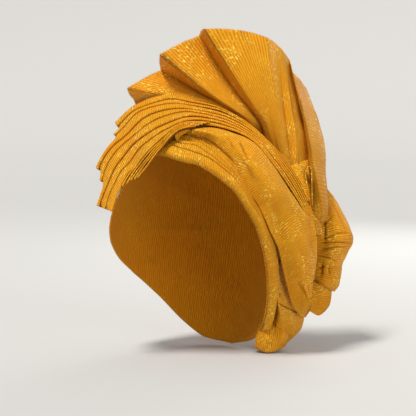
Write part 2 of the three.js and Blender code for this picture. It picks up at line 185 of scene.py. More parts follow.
# Sections of the swath under it, round the nape: angle of its front edge, then three points.
UNDER_ROWS = [
    (21, (1.00, 0.42, -1.26), (1.10, 0.12, -1.28), (1.06, -0.15, -1.28)),
    (31, (1.04, 0.38, -1.46), (1.34, -0.04, -1.54), (1.10, -0.32, -1.48)),
    (41, (1.10, 0.22, -1.62), (1.37, -0.08, -1.74), (1.10, -0.36, -1.66)),
    (54, (1.06, 0.04, -1.75), (1.22, -0.14, -1.86), (1.00, -0.38, -1.78)),
]

# The gathered end at the nape is a small lobe: sections from the band outwards, each from its
# top over the front and the under side to the back.
LOBE_ROWS = [
    [(0.865, -0.12, -1.70), (0.845, 0.00, -1.77), (0.835, 0.01, -1.82),
     (0.84, -0.05, -1.885), (0.87, -0.22, -1.87)],
    [(0.95, -0.02, -1.69), (0.945, 0.09, -1.76), (0.935, 0.09, -1.83),
     (0.935, 0.02, -1.915), (0.95, -0.22, -1.89)],
    [(1.04, 0.02, -1.67), (1.05, 0.13, -1.76), (1.04, 0.11, -1.84),
     (1.035, 0.04, -1.92), (1.03, -0.20, -1.90)],
    [(1.12, 0.04, -1.68), (1.15, 0.12, -1.77), (1.14, 0.08, -1.85),
     (1.13, 0.00, -1.905), (1.11, -0.20, -1.89)],
    [(1.18, 0.00, -1.72), (1.21, 0.04, -1.79), (1.20, 0.02, -1.85),
     (1.19, -0.08, -1.89), (1.17, -0.20, -1.88)],
]

# The tucked piece at the knot: from its free top edge down, each from the pleats backwards.
TUCK_ROWS = [
    [(0.96, 0.33, -0.38), (1.083, 0.31, -0.345), (1.20, 0.20, -0.325)],
    [(1.035, 0.38, -0.45), (1.135, 0.40, -0.43), (1.225, 0.32, -0.43)],
    [(1.12, 0.42, -0.54), (1.191, 0.46, -0.523), (1.25, 0.42, -0.534)],
    [(1.22, 0.45, -0.65), (1.25, 0.48, -0.639), (1.28, 0.46, -0.649)],
]

# The narrow loop that hangs in front of it: up one side, over, down the other.
LOOP_ROW = [
    (1.271, 0.50, -0.68), (1.222, 0.50, -0.563), (1.174, 0.49, -0.438), (1.168, 0.48, -0.388),
    (1.198, 0.48, -0.358), (1.232, 0.48, -0.388), (1.243, 0.49, -0.438), (1.268, 0.50, -0.563),
    (1.289, 0.50, -0.68),
]

# The ruffle behind the knot: sections from top to bottom, from front to back, then its root.
RUFFLE_ROWS = [
    [(1.38, -0.06, -0.74), (1.44, -0.06, -0.64), (1.46, -0.16, -0.53),
     (1.30, -0.42, -0.60), (1.0, -0.50, -0.62)],
    [(1.40, 0.02, -0.89), (1.62, 0.06, -0.80), (1.82, -0.15, -0.90),
     (1.64, -0.50, -0.84), (1.0, -0.60, -0.86)],
    [(1.41, 0.00, -1.03), (1.66, 0.08, -1.01), (1.89, -0.15, -1.04),
     (1.68, -0.55, -1.05), (1.0, -0.62, -1.05)],
    [(1.42, -0.03, -1.20), (1.60, 0.06, -1.18), (1.79, -0.12, -1.22),
     (1.62, -0.50, -1.23), (1.0, -0.62, -1.22)],
    [(1.43, -0.06, -1.36), (1.60, 0.00, -1.40), (1.76, -0.12, -1.46),
     (1.62, -0.42, -1.45), (1.0, -0.60, -1.40)],
]

# The flat tab that hangs below the ruffle.
TAB_ROWS = [
    [(1.38, -0.107, -1.34), (1.55, -0.037, -1.38), (1.69, -0.112, -1.42)],
    [(1.37, -0.10, -1.51), (1.56, -0.12, -1.56), (1.69, -0.17, -1.56)],
    [(1.44, -0.08, -1.60), (1.56, -0.12, -1.65), (1.64, -0.16, -1.62)],
]

# Creases of the side wrap: start and end as shares along and across it, width and depth in mm.
WRAP_CREASES = [
    ((0.29, 0.52), (0.345, 0.30), 2.2, 3.2),
    ((0.25, 0.42), (0.295, 0.24), 1.8, 1.8),
    ((0.36, 0.50), (0.46, 0.36), 3.0, 1.5),
    ((0.33, 0.22), (0.42, 0.14), 2.4, 1.6),
    ((0.50, 0.18), (0.66, 0.12), 3.2, 1.8),
    ((0.62, 0.62), (0.78, 0.50), 3.4, 1.4),
    ((0.84, 0.20), (0.99, 0.36), 2.2, 2.2),
    ((0.82, 0.40), (0.99, 0.42), 2.0, 1.6),
    ((0.84, 0.62), (0.99, 0.48), 2.2, 1.8),
    ((0.70, 0.30), (0.80, 0.44), 3.0, 1.2),
    ((0.06, 0.07), (0.34, 0.06), 1.8, 2.4),
]

# Creases of the swath under it, likewise.
UNDER_CREASES = [
    ((0.36, 0.05), (0.52, 0.55), 2.0, 2.4),
    ((0.70, 0.05), (0.95, 0.30), 2.2, 1.6),
]

# Creases of the ruffle, likewise. A negative depth is a ridge.
RUFFLE_CREASES = [
    ((0.12, 0.10), (0.50, 0.11), 2.2, 2.4),
    ((0.50, 0.06), (0.52, 0.44), 1.8, 2.0),
    ((0.58, 0.08), (0.56, 0.40), 2.0, 1.6),
    ((0.64, 0.10), (0.60, 0.30), 2.0, -1.2),
    ((0.76, 0.13), (0.90, 0.15), 4.4, 3.0),
    ((0.80, 0.26), (0.88, 0.30), 3.0, 1.6),
    ((0.96, 0.08), (0.96, 0.36), 4.5, -2.6),
    ((0.10, 0.30), (0.44, 0.34), 3.0, 1.4),
    ((0.47, 0.04), (0.40, 0.36), 1.2, 1.4),
    ((0.66, 0.05), (0.74, 0.34), 1.5, 1.6),
    ((0.84, 0.05), (0.78, 0.22), 1.3, 1.6),
    ((0.30, 0.05), (0.24, 0.22), 1.6, 1.2),
    ((0.15, 0.60), (0.80, 0.58), 3.4, 2.2),
    ((0.30, 0.74), (0.90, 0.72), 3.0, 1.8),
]


def place(p):
    """Head shares (across, out, up) to millimetres."""
    p = np.asarray(p, float)
    across, out, up = p[..., 0], p[..., 1], p[..., 2]
    z = CROWN_RISE * up
    x = HEAD_WIDTH / 2 * (math.cos(FAN_TURN) * across + math.sin(FAN_TURN) * out)
    y = HEAD_LENGTH / 2 * (math.sin(FAN_TURN) * across - math.cos(FAN_TURN) * out)
    return np.stack([x, y + HEAD_LEAN * z, z], -1)


def unit(v):
    return v / np.maximum(np.linalg.norm(v, axis=-1, keepdims=True), 1e-9)


HEAD_CENTRE = place((0, 0, -1))


def head_axis(across, out, up):
    """Direction of one of the head's own axes."""
    return unit(place((across, out, up)))


def head_point(angle, rise, off):
    """A point this many millimetres off the head."""
    tall = np.where(rise > 0, CROWN_RISE, JAW_DROP)
    z = tall * np.sin(rise) - CROWN_RISE
    x = HEAD_WIDTH / 2 * np.cos(rise) * np.cos(angle)
    y = HEAD_LENGTH / 2 * np.cos(rise) * np.sin(angle)
    ny = y / (HEAD_LENGTH / 2) ** 2
    nz = (z + CROWN_RISE) / tall ** 2 - HEAD_LEAN * ny
    normal = unit(np.stack([x / (HEAD_WIDTH / 2) ** 2, ny, nz], -1))
    return np.stack([x, y + HEAD_LEAN * z, z], -1) + normal * np.asarray(off)[..., None]


def along(rows, at):
    """Smooth curve through rows of values, read at row numbers. rows may be arrays of points."""
    rows = np.asarray(rows, float)
    last = len(rows) - 1
    padded = np.concatenate([[2 * rows[0] - rows[1]], rows, [2 * rows[-1] - rows[-2]]])
    at = np.asarray(at, float)
    i = np.clip(np.floor(at), 0, last - 1).astype(int)
    t = (at - i).reshape(at.shape + (1,) * (rows.ndim - 1))
    a, b, c, d = padded[i], padded[i + 1], padded[i + 2], padded[i + 3]
    return 0.5 * (2 * b + (c - a) * t + (2 * a - 5 * b + 4 * c - d) * t ** 2
                  + (3 * b - a - 3 * c + d) * t ** 3)


def through(points, at):
    """Smooth curve through a list of grids of points, read at a grid of numbers."""
    points = [np.broadcast_to(p, at.shape + (3,)) for p in points]
    last = len(points) - 1
    result = np.zeros(at.shape + (3,))
    for i in range(last):
        low = at >= i if i > 0 else at > -9
        high = at < i + 1 if i < last - 1 else at < 99
        t = (at - i)[..., None]
        b, c = points[i], points[i + 1]
        a = points[i - 1] if i > 0 else 2 * b - c
        d = points[i + 2] if i + 2 <= last else 2 * c - b
        curve = 0.5 * (2 * b + (c - a) * t + (2 * a - 5 * b + 4 * c - d) * t ** 2
                       + (3 * b - a - 3 * c + d) * t ** 3)
        result = np.where((low & high)[..., None], curve, result)
    return result


def read_table(rows, angle):
    angles = np.array([r[0] for r in rows], float)
    i = np.clip(np.searchsorted(angles, angle, side="left") - 1, 0, len(rows) - 2)
    t = np.clip((angle - angles[i]) / (angles[i + 1] - angles[i]), 0, 1)
    return along([r[1] for r in rows], i + t)


def rim_rise(angle):
    z = CROWN_RISE * (read_table(RIM_ROWS, angle) + 1)
    return np.arcsin(z / np.where(z > 0, CROWN_RISE, JAW_DROP))


def band_width(angle):
    return RIM_BAND * read_table(BAND_ROWS, angle)


def over_rim(angle, height, off):
    """A point above the edge of the face opening, measured up the head and off it."""
    return head_point(np.radians(angle), rim_rise(angle) + height / CROWN_RISE, off)


def head_reach(p):
    tall = np.where(p[..., 2] < -1, CROWN_RISE / JAW_DROP, 1)
    return np.sqrt(p[..., 0] ** 2 + p[..., 1] ** 2 + ((p[..., 2] + 1) * tall) ** 2)


def over_head(toward, outwards, high):
    """A point over the head in this direction: 0 lies on the cap, 1 stands out by the reach."""
    skin = (place(toward) - HEAD_CENTRE) / head_reach(toward)[..., None]
    length = np.linalg.norm(skin, axis=-1)
    root = length + 1.08 * CAP_TOP + CLOTH_WALL / 2
    tip = length * outwards
    return HEAD_CENTRE + unit(skin) * (root + (tip - root) * high)[..., None]


def between_edges(at, share):
    rows = along(PLEAT_ROWS, at)
    share = np.asarray(share)[..., None]
    return rows[..., :3] + (rows[..., 3:] - rows[..., :3]) * share


def pleat_point(at, share, high):
    """A point of the family of pleats: station, share across, height from root to edge."""
    at, share, high = np.broadcast_arrays(*[np.asarray(x, float) for x in (at, share, high)])
    root = share + PLEAT_SLOPE + ROOT_SPREAD * share
    toward = between_edges(at, root + (share - root) * high)
    return over_head(toward, head_reach(between_edges(at, share)), high)


def spans(columns, rows):
    u = np.linspace(0, 1, columns + 1)[:, None]
    v = np.linspace(0, 1, rows + 1)[None, :]
    return np.broadcast_arrays(u, v)


def normals(points):
    side = np.gradient(points, axis=0)
    up = np.gradient(points, axis=1)
    return unit(np.cross(side, up))


def ripple(p, pitch, seed):
    """Smooth uneven waves through space, from -1 to 1, with about this pitch in millimetres."""
    rng = np.random.default_rng(seed)
    total = np.zeros(p.shape[:-1])
    for _ in range(7):
        direction = unit(rng.normal(size=3))
        phase = p @ direction * (2 * math.pi / pitch) * rng.uniform(0.7, 1.4)
        total += np.sin(phase + rng.uniform(0, 6.28))
    return total / 4


def ease(x, low, high):
    t = np.clip((x - low) / (high - low), 0, 1)
    return t * t * (3 - 2 * t)


def outward(p):
    """Normals of a sheet, turned away from the middle of the head."""
    n = normals(p)
    middle = np.array([0, 0, -CROWN_RISE])
    return n * np.sign((n * (p - middle)).sum(-1).mean())


def raised(p, by, face=None):
    """A sheet moved off the head by these millimetres, or along the directions in face."""
    face = outward(p) if face is None else face
    return p + face * by[..., None]


def creased(p, u, v, creases):
    """Presses creases into a sheet, one after another, each fading towards its ends."""
    for start, end, width, depth in creases:
        tall = np.linalg.norm(np.diff(p, axis=0), axis=-1).sum(0).mean()
        wide = np.linalg.norm(np.diff(p, axis=1), axis=-1).sum(1).mean()
        q = np.stack([u * tall, v * wide], -1)
        a = np.array([start[0] * tall, start[1] * wide])
        b = np.array([end[0] * tall, end[1] * wide])
        t = np.clip(((q - a) @ (b - a)) / ((b - a) @ (b - a)), 0, 1)
        away = np.linalg.norm(q - a - t[..., None] * (b - a), axis=-1)
        fade = 1 - 0.75 * np.abs(2 * t - 1) ** 3
        p = raised(p, -(depth * fade * np.exp(-(away / width) ** 2)))
    return p


def cavity(p, steps):
    """How deep each point of a sheet lies below its neighbours on this side, in millimetres."""
    wide = np.pad(p, ((steps, steps), (steps, steps), (0, 0)), mode="reflect", reflect_type="odd")
    inner, n = slice(steps, -steps), 2 * steps
    around = (wide[n:, inner] + wide[:-n, inner] + wide[inner, n:] + wide[inner, :-n]) / 4
    return ((around - p) * outward(p)).sum(-1)


def crease_shade(p, steps, scale):
    """Painted shade of each point of a sheet, under 1 in its creases, for depths of this scale."""
    return 1 - 0.75 * np.clip(cavity(p, steps) / scale, -0.15, 1)


def through_rows(rows, u, v):
    """A sheet through a table of sections, each a row of points in head shares."""
    sections = [place(along(row, v * (len(row) - 1))) for row in rows]
    return through(sections, u * (len(sections) - 1))


def mesh_object(name, vertices, faces, uvs, shade=None):
    data = bpy.data.meshes.new(name)
    data.from_pydata(vertices.tolist(), [], faces.tolist())
    layer = data.uv_layers.new(name="weave")
    corners = np.empty(len(data.loops), np.int32)
    data.loops.foreach_get("vertex_index", corners)
    layer.data.foreach_set("uv", uvs[corners].ravel().astype(np.float32))
    # The second UV layer holds painted shade: a colour factor, 1 where nothing is painted and lower
    # where the cloth is painted darker as if in shade.
    shades = np.ones((len(vertices), 2)) if shade is None else np.stack([shade, shade], -1)
    painted_shade_layer = data.uv_layers.new(name="crease")
    painted_shade_layer.data.foreach_set("uv", shades[corners].ravel().astype(np.float32))
    data.polygons.foreach_set("use_smooth", [True] * len(data.polygons))
    piece = bpy.data.objects.new(name, data)
    bpy.context.scene.collection.objects.link(piece)
    return piece


def apply_all(piece):
    bpy.context.view_layer.objects.active = piece
    for modifier in list(piece.modifiers):
        bpy.ops.object.modifier_apply(modifier=modifier.name)


def woven(name, points, wall, turn=None, ring=False, shade=None):
    """A sheet of cloth from a grid of points in millimetres, with its weave laid along it, or
    turned by this many degrees in each column, and with these values of painted shade."""
    columns, rows = points.shape[:2]
    step_u = np.linalg.norm(np.diff(points, axis=0), axis=-1).mean(1)
    step_v = np.linalg.norm(np.diff(points, axis=1), axis=-1)
    u = np.concatenate([[0], np.cumsum(step_u)])[:, None] * np.ones((1, rows))
    v = np.concatenate([np.zeros((columns, 1)), np.cumsum(step_v, axis=1)], axis=1)
    if turn is not None:
        a = np.radians(turn)[:, None]
        u, v = u * np.cos(a) + v * np.sin(a), v * np.cos(a) - u * np.sin(a)
    uvs = np.stack([u, v], -1).reshape(-1, 2) * MM
    index = np.arange(columns * rows).reshape(columns, rows)
    a, b, c, d = index[:-1, :-1], index[1:, :-1], index[1:, 1:], index[:-1, 1:]
    faces = np.stack([a, b, c, d], -1).reshape(-1, 4)
    shade = shade if shade is None else np.broadcast_to(shade, points.shape[:2]).reshape(-1)
    piece = mesh_object(name, points.reshape(-1, 3) * MM, faces, uvs, shade)
    if ring:
        weld = piece.modifiers.new("weld", "WELD")
        weld.merge_threshold = 1e-5
    solid = piece.modifiers.new("wall", "SOLIDIFY")
    solid.thickness = wall * MM
    solid.offset = 0
    apply_all(piece)
    return piece


def over_pleats(at, share, sink=0.0):
    """A point on the surface that runs over all fold edges of the front, or sunk under it."""
    at, share, sink = np.broadcast_arrays(*[np.asarray(x, float) for x in (at, share, sink)])
    toward = between_edges(at, share)
    p = over_head(toward, head_reach(toward), np.ones(at.shape))
    return p - unit(p - HEAD_CENTRE) * sink[..., None]


def fold_band(start, end, low, high, columns, tuck, cover=-9.0, back=False, sway=0.0, seed=0,
              sharp=0.0):
    """One pleat of a shingled row, and its painted shade: a leg up from its root, a rolled edge
    that stands over the pleat in front, and a face that runs back and down under the next one. The
    leg is painted dark, the roll from dark to light, and the face darker where it goes under. low
    and high are shares; the next pleat covers it from the station cover on."""
    at = np.linspace(start, end, columns + 1)
    room = np.clip((SWAY_END - at) / SWAY_FADE, 0, 1)

    def drift(line):
        return sway * room * (np.sin(at * 1.9 + line * 1.7) + 0.5 * np.sin(at * 4.1 + line))

    low = low + drift(seed - 1)
    high = high + drift(seed)
    pitch = np.linalg.norm(over_pleats(at, high) - over_pleats(at, low), axis=-1)
    tight = np.maximum(ease(at, TIGHT_FROM, TIGHT_TO), sharp)
    roll = np.clip((ROLL_SHARE - ROLL_LOSS * tight) * pitch, ROLL_LEAST, ROLL_MOST)
    gap = np.clip((GAP_SHARE + GAP_GAIN * tight) * pitch, GAP_LEAST, GAP_MOST)
    gap = gap * (1 - NARROW_BY * room * (seed % 2))
    drop = (2 * roll + gap) * (1 - SOFT_BY * (1 - tight) * ((seed + 1) % 2))
    roll = roll * (1 - SOFT_BY * (1 - tight) * (seed % 2))

    crest = over_pleats(at, low)
    rise = unit(crest - HEAD_CENTRE)
    behind = over_pleats(at, low + 0.02) - crest
    behind = unit(behind - rise * (behind * rise).sum(-1, keepdims=True))
    heart = crest - rise * roll[:, None]
    under = heart - rise * roll[:, None]
    root = pleat_point(at, low, np.full(at.shape, tuck))
    rows = [root + (under - root) * t for t in (0, 0.3, 0.6, 0.85)]
    shade = [0.0] * len(rows)

    turns = 11
    shade += list(1.1 * ease(np.linspace(0, 1, turns), 0.12, 0.60))
    for a in np.linspace(1, 0, turns) * math.pi:
        rows.append(heart + (rise * math.cos(a) - behind * math.sin(a)) * roll[:, None])

    covered = ease(at, cover - 0.3, cover + 0.2)
    reach = 0.55 + 0.6 * covered
    for t in np.linspace(0, 1, 22)[1:]:
        share = low + (high - low) * t * reach
        sink = drop * (t * reach) ** 1.6 * (1 + 2.5 * (1 - covered))
        rows.append(over_pleats(at, share, sink))
        shade.append(1.1 - 0.95 * (t * 1.15) ** 3 if t < 0.87 else 0.15)
    if back:
        last = rows[-1]
        root = pleat_point(at, high, np.full(at.shape, tuck))
        rows += [last + (root - last) * t for t in (0.1, 0.3, 0.6, 1.0)]
        shade = shade[:-10] + [1.0] * 10 + [0.9, 0.7, 0.5, 0.3]
    shade = np.array(shade)[None, :] * np.ones((len(at), 1))
    return np.stack(rows, 1), 1 - (1 - shade) * (0.30 + 0.70 * tight)[:, None]


# ---------------------------------------------------------------- materials

# The weave in metres: its ribs, the finer threads across them, and the length over which a
# wave texture of scale 1 repeats.
RIB_PITCH = 0.0019
PICK_PITCH = 0.0009
WAVE_REPEAT = 0.314159

SHEEN_TINT = (1.0, 0.70, 0.22, 1)
GLOSS_TINT = (1.0, 0.62, 0.14, 1)
# Gold of the metallic threads, also painted into the base colour as bright glints where they should
# catch the light.
THREAD_AND_PAINTED_GLINT = (1.0, 0.76, 0.12, 1)
# Colour of the painted shade in creases.
PAINTED_CREASE_SHADE = (0.16, 0.035, 0.001, 1)


def gele_cloth(name, colour, deep, glint):
    """Ribbed cloth between two colours, with uneven threads, metallic threads of this strength with
    painted glints, and painted shade in its creases."""
    material = bpy.data.materials.new(name)
    material.use_nodes = True
    nodes, links = material.node_tree.nodes, material.node_tree.links

    def put(socket, value):
        if isinstance(value, bpy.types.NodeSocket):
            links.new(value, socket)
        else:
            socket.default_value = value

    def uv_layer(layer):
        node = nodes.new("ShaderNodeUVMap")
        node.uv_map = layer
        return node.outputs["UV"]

    weave = uv_layer("weave")

    def waves(direction, pitch, distortion):
        node = nodes.new("ShaderNodeTexWave")
        node.wave_type = "BANDS"
        node.bands_direction = direction
        put(node.inputs["Scale"], WAVE_REPEAT / pitch)
        put(node.inputs["Distortion"], distortion)
        put(node.inputs["Vector"], weave)
        return node

    def noise(vector, scale, detail):
        node = nodes.new("ShaderNodeTexNoise")
        put(node.inputs["Scale"], scale)
        put(node.inputs["Detail"], detail)
        put(node.inputs["Vector"], vector)
        return node

    def stretched(scale, shift=(0, 0, 0)):
        node = nodes.new("ShaderNodeMapping")
        put(node.inputs["Scale"], scale)
        put(node.inputs["Location"], shift)
        put(node.inputs["Vector"], weave)
        return node.outputs["Vector"]

    def calc(operation, *values):
        node = nodes.new("ShaderNodeMath")
        node.operation = operation
        for socket, value in zip(node.inputs, values):
            put(socket, value)
        return node.outputs["Value"]

    def mixed(first, second, factor, blend="MIX"):
        node = nodes.new("ShaderNodeMix")
        node.data_type = "RGBA"
        node.blend_type = blend
        put(node.inputs["A"], first)
        put(node.inputs["B"], second)
        put(node.inputs["Factor"], factor)
        return node.outputs["Result"]

    def ranged(value, low, high, to_low=0.0, to_high=1.0):
        node = nodes.new("ShaderNodeMapRange")
        put(node.inputs["From Min"], low)
        put(node.inputs["From Max"], high)
        put(node.inputs["To Min"], to_low)
        put(node.inputs["To Max"], to_high)
        put(node.inputs["Value"], value)
        return node.outputs["Result"]

    space = nodes.new("ShaderNodeTexCoord").outputs["Object"]
    ribs = waves("X", RIB_PITCH, 0.9)
    put(ribs.inputs["Detail"], 1)
    put(ribs.inputs["Detail Scale"], 0.5)
    picks = waves("Y", PICK_PITCH, 0.4)
    slub = noise(stretched((900, 90, 1)), 1, 2)
    cloud = noise(space, 22, 4)

    light = calc("MULTIPLY_ADD", slub.outputs["Fac"], 0.80,
                 calc("MULTIPLY", ribs.outputs["Fac"], 0.62))
    body = mixed(deep, colour, light)
    body = mixed(body, cloud.outputs["Color"], 0.2, "MULTIPLY")

    # Threads of metallic gold, clustered in zones: where they lie, the base colour turns bright
    # yellow as a painted glint, and the surface a little metallic and glossier.
    thread = noise(stretched((900, 300, 1), (0.3, 0.7, 0)), 1, 1)
    zone = noise(space, 48, 2)
    thread_and_glint = calc("MULTIPLY", ranged(thread.outputs["Fac"], 0.57, 0.64, 0.0, glint),
                  ranged(zone.outputs["Fac"], 0.44, 0.60, 0.12))
    # Painted shade, read from the sheet's second UV layer, darkens the base colour below.
    crease = nodes.new("ShaderNodeSeparateXYZ")
    put(crease.inputs["Vector"], uv_layer("crease"))
    with_thread_and_glint = mixed(body, THREAD_AND_PAINTED_GLINT, thread_and_glint)

    relief = calc("MULTIPLY_ADD", picks.outputs["Fac"], 0.35, ribs.outputs["Fac"])
    relief = calc("MULTIPLY_ADD", slub.outputs["Fac"], 0.6, relief)
    bump = nodes.new("ShaderNodeBump")
    put(bump.inputs["Strength"], 0.9)
    put(bump.inputs["Distance"], 0.0007)
    put(bump.inputs["Height"], relief)

    shader = nodes["Principled BSDF"]
    put(shader.inputs["Base Color"], mixed(PAINTED_CREASE_SHADE, with_thread_and_glint, crease.outputs["X"]))
    put(shader.inputs["Metallic"], calc("MULTIPLY", thread_and_glint, 0.22))
    put(shader.inputs["Roughness"], ranged(thread_and_glint, 0.0, 1.0, 0.58, 0.36))
    put(shader.inputs["Normal"], bump.outputs["Normal"])
    put(shader.inputs["Sheen Weight"], 0.10)
    put(shader.inputs["Sheen Roughness"], 0.45)
    put(shader.inputs["Sheen Tint"], SHEEN_TINT)
    put(shader.inputs["Specular Tint"], GLOSS_TINT)
    return material


GOLDEN = gele_cloth("golden_gele_cloth", (1.0, 0.42, 0.012, 1), (0.55, 0.15, 0.001, 1), 1.0)
LINING = gele_cloth("inner_gele_cloth", (0.80, 0.30, 0.006, 1), (0.50, 0.15, 0.002, 1), 0.15)


def finish_piece(piece, material, *nodes_replaced):
    piece.data.materials.clear()
    piece.data.materials.append(material)
    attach(piece, "root")
    if nodes_replaced:
        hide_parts(*nodes_replaced)
    return piece


# ---------------------------------------------------------------- the pieces


def make_cap():
    """The cloth round the head, with soft folds at the back that are pulled to the knot."""
    u, v = spans(240, 70)
    angle = -270 + 360 * u
    low = rim_rise(angle)
    rise = low + (math.pi / 2 - low) * v
    p = head_point(np.radians(angle), rise, HEAD_EASE + CAP_WALL / 2 + 0 * u)
    inside = np.clip(v * 12, 0, 1) * np.clip((1 - v) * 8, 0, 1)
    p = raised(p, ripple(p, 46, 3) * 0.35 * inside, normals(p))
    knot = place((1.25, 0.1, -0.9))
    fall = (p - knot) @ head_axis(0, 0, 1)
    reach = (p - knot) @ head_axis(-1, 0, 0)
    spread = np.arctan2(fall, np.maximum(reach, 1.0))
    rear = ease(-(p @ head_axis(0, 1, 0)), 8, 45)
    pull = np.sin(spread * 15 + 1.3 * np.sin(spread * 4)) + 0.5 * np.sin(spread * 31 + 2)
    p = raised(p, (0.55 * pull - 0.5) * rear * inside)
    p[-1] = p[0]
    return woven("head_wrap", p, CAP_SHEET, ring=True, shade=crease_shade(p, 3, 2.0))


def make_rim_pleat(layer):
    """One fold of the band round the face: the hem on the last, a face, and a rolled edge,
    with painted shade at the foot of the face and behind the edge.
    """
    width, start, end = RIM_PLEATS[layer]
    last = layer == len(RIM_PLEATS) - 1
    lower = 0.0 if last else RIM_PLEATS[layer + 1][0]
    angle = np.linspace(start, end, 361)
    level = np.zeros(angle.shape)
    tall = band_width(angle)

    def stir(n):
        return 0.03 * np.sin(angle / 6.5 + 2.1 * n) + 0.015 * np.sin(angle / 2.9 + n)

    high = tall * (width + stir(layer))
    low = 0.3 + level if last else tall * (lower + stir(layer + 1)) + 2.1
    proud = CAP_TOP + 3.0 + 1.1 * layer + 1.4 * ease(angle, -5, 12)
    sink = 0.6 if last else 2.6 + 0.9 * layer
    rows, shade = [], []
    if last:
        for height, off in ((1.5, 0.2), (0.0, 0.0), (-1.0, 0.9), (-1.2, 2.6)):
            rows.append(over_rim(angle, height + level, CAP_TOP + off + level))
        shade = [0.6, 0.8, 0.9, 1.0]
    span = np.maximum(high - low, 0.3)
    for t in np.linspace(0, 1, 18) ** 1.4:
        off = proud - sink * np.exp(-(span * t / 0.7) ** 1.4) - 0.11 * span * (1 - t) ** 2
        rows.append(over_rim(angle, low + span * t, off))
        shade.append(1.0 if last else 1.05 - 0.85 * math.exp(-t * 9))
    for a in np.linspace(0.2, 1.0, 7) * math.pi:
        off = proud - RIM_ROLL + RIM_ROLL * np.cos(a)
        rows.append(over_rim(angle, low + span + RIM_ROLL * math.sin(a), off))
    rows.append(over_rim(angle, high - 1.5, proud - 2 * RIM_ROLL))
    rows.append(over_rim(angle, np.maximum(high - 6, 0.2 * high), CAP_TOP + 0.4 + level))
    shade += [1.1, 1.0, 0.8, 0.6, 0.4, 0.3, 0.2, 0.2, 0.2]
    return woven(f"rim_fold_{layer + 1}", np.stack(rows, 1), FOLD_SHEET, shade=np.array(shade))


def make_front_pleat(number):
    """One pleat over the forehead. The last one has no other over it, so it has a back."""
    share, start = FRONT_PLEATS[number]
    last = number == len(FRONT_PLEATS) - 1
    above, cover = (1.11, -9) if last else FRONT_PLEATS[number + 1]
    p, shade = fold_band(start, KNOT_STATION + 0.3, share, above, 340, 0.05 if number else -0.1,
                         cover, back=last, sway=0.020, seed=number)
    p = raised(p, ripple(p, 9, 40 + number) * 0.10, normals(p))
    return woven(f"front_fold_{number + 1}", p, FOLD_SHEET, shade=shade)


def make_temple_fold(number):
    """One of the narrow folds that end over the forehead, in front of the pleats."""
    low = -TEMPLE_PITCH * (number + 1)
    p, shade = fold_band(1.5 + 0.3 * number, 6.9 - 0.10 * number, low, low + TEMPLE_PITCH, 160,
                         0.0, sway=0.004, seed=-2 * number, sharp=0.9)
    lift = ease(np.linspace(0, 1, len(p))[:, None], 0.15, 0.6)
    p = raised(p, lift * (TEMPLE_LIFT - TEMPLE_STEP * number), unit(p - HEAD_CENTRE))
    p = raised(p, ripple(p, 7, 60 + number) * 0.12, normals(p))
    return woven(f"temple_fold_{number + 1}", p, FOLD_SHEET, shade=shade)


def make_fan():
    """The accordion fan, and its points: panels between its ribs, each slightly bowed."""
    columns, rows = 16, 110
    panels = len(FAN_RIBS) - 1
    u, v = spans(panels * columns, rows)
    x = u * panels
    i = np.clip(np.floor(x + 1e-9), 0, panels - 1).astype(int)
    t = x - i
    ribs = np.array([list(r[:3]) + [c for q in r[3:] for c in q] for r in FAN_RIBS], float)
    mixed = ribs[i] + (ribs[i + 1] - ribs[i]) * t[..., None]
    at, share, high = mixed[..., 0], mixed[..., 1], mixed[..., 2]
    points = [pleat_point(at, share, high), pleat_point(at, share, high + 0.5)]
    points += [place(mixed[..., 3 + 3 * n:6 + 3 * n]) for n in range(3)]
    p = through(points, v * 4)
    face = normals(p)
    bow = 4 * t * (1 - t)
    p = raised(p, bow * np.sin(v * math.pi) * 1.2, face)
    p = raised(p, ripple(p, 30, 11) * 0.5 * np.clip(v * 3, 0, 1), face)
    outwards = unit(p[:, -1] - p[:, -9])[:, None]
    p = raised(p, bow ** 2 * ease(v, 0.5, 1.0), outwards)
    # The weave runs slanting on one panel and across the last ones. On those every second row is
    # raised and given painted shade, so that their ribs show.
    turn = np.select([(x[:, 0] >= 10) & (x[:, 0] < 11), x[:, 0] >= 11], [40, 90], 0)
    ribbed = (np.arange(rows + 1) % 2) * (x >= 12) * ease(v, 0.05, 0.2)
    p = raised(p, ribbed * 0.25, face)
    shade = crease_shade(p, 2, 1.6) * (1 - 0.32 * ribbed)
    return woven("crown_fan_cloth", p, LOOSE_SHEET, turn, shade=shade), p


def make_fray(name, edge, away, pitch, length, seed):
    """Loose thread ends along a cut edge: a row of points, and the way out of the cloth."""
    sides, radius, rooted = 3, 0.17, 0.8
    rng = np.random.default_rng(seed)
    steps = np.linalg.norm(np.diff(edge, axis=0), axis=-1)
    run = np.concatenate([[0], np.cumsum(steps)])
    places = np.arange(0.3, run[-1], pitch)
    places = places + rng.uniform(-0.4, 0.4, len(places)) * pitch
    base = np.stack([np.interp(places, run, edge[:, k]) for k in range(3)], -1)
    out = unit(np.stack([np.interp(places, run, away[:, k]) for k in range(3)], -1))
    out = unit(out + rng.normal(0, 0.28, out.shape))
    along_edge = unit(np.gradient(base, axis=0))
    third = unit(np.cross(out, along_edge))
    long = length * rng.uniform(0.4, 1.2, len(base))[:, None]
    vertices, faces = [], []
    for k in range(sides):
        a = 2 * math.pi * k / sides
        ring = (along_edge * math.cos(a) + third * math.sin(a)) * radius
        vertices += [base - out * rooted + ring, base + out * long + ring * 0.4]
    stacked = np.stack(vertices, 1).reshape(-1, 3)
    first = np.arange(len(base)) * 2 * sides
    for k in range(sides):
        a, b = first + 2 * k, first + 2 * ((k + 1) % sides)
        faces.append(np.stack([a, b, b + 1, a + 1], -1))
    uvs = stacked[:, :2] * MM
    piece = mesh_object(name, stacked * MM, np.concatenate(faces), uvs)
    bpy.ops.object.select_all(action="DESELECT")
    bpy.context.view_layer.objects.active = piece
    piece.select_set(True)
    bpy.ops.object.mode_set(mode="EDIT")
    bpy.ops.mesh.select_all(action="SELECT")
    bpy.ops.mesh.fill_holes(sides=3)
    bpy.ops.mesh.normals_make_consistent(inside=False)
    bpy.ops.object.mode_set(mode="OBJECT")
    piece.select_set(False)
    return piece


